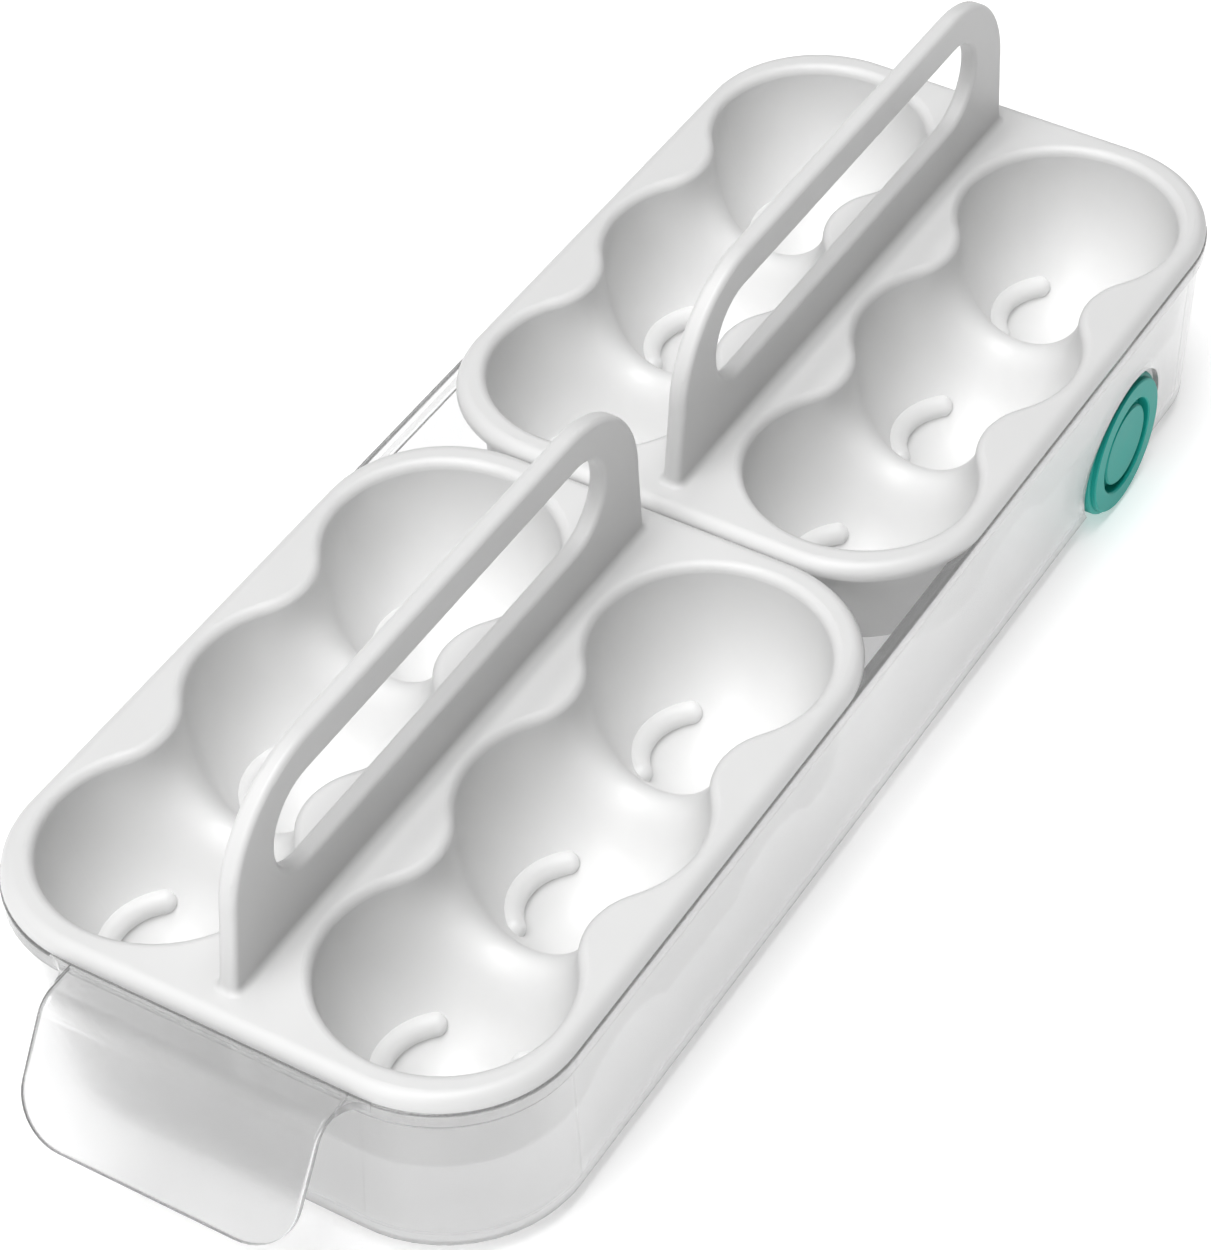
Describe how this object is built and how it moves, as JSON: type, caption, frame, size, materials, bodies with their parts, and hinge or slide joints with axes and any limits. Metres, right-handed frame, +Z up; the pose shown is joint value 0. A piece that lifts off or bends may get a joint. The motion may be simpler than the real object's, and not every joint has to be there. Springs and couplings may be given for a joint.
{
  "type": "egg holder",
  "caption": "Long clear refrigerator drawer on rear wheels with a front pull lip, holding lift-out white egg caddies with tall slotted carrying handles.",
  "frame": {"origin": "on the floor, below the middle of the object's bounding box", "axes": "+X to the right side, +Y from the front pull lip to the rear, +Z up"},
  "size_m": [0.1318, 0.3713, 0.108],
  "materials": {
    "clear_plastic": "clear, lightly frosted",
    "white_plastic": "satin white",
    "teal_plastic": "satin teal green"
  },
  "bodies": {
    "bin": {"bin": "clear_plastic", "right_axle_pin": "teal_plastic", "left_axle_pin": "teal_plastic"},
    "front_caddy": {"front_caddy": "white_plastic"},
    "rear_caddy": {"rear_caddy": "white_plastic"},
    "right_wheel": {"right_wheel": "teal_plastic"},
    "left_wheel": {"left_wheel": "teal_plastic"}
  },
  "joints": [
    {"name": "front_caddy_lift", "type": "slide", "parent": "bin", "child": "front_caddy", "axis": [0, 0, 1], "range_m": [0, 0.05]},
    {"name": "rear_caddy_lift", "type": "slide", "parent": "bin", "child": "rear_caddy", "axis": [0, 0, 1], "range_m": [0, 0.05]},
    {"name": "right_wheel_spin", "type": "hinge", "parent": "bin", "child": "right_wheel", "pos_m": [0.0602, 0.1297, 0.0183], "axis": [1, 0, 0], "continuous": true},
    {"name": "left_wheel_spin", "type": "hinge", "parent": "bin", "child": "left_wheel", "pos_m": [-0.0602, 0.1297, 0.0183], "axis": [1, 0, 0], "continuous": true}
  ]
}
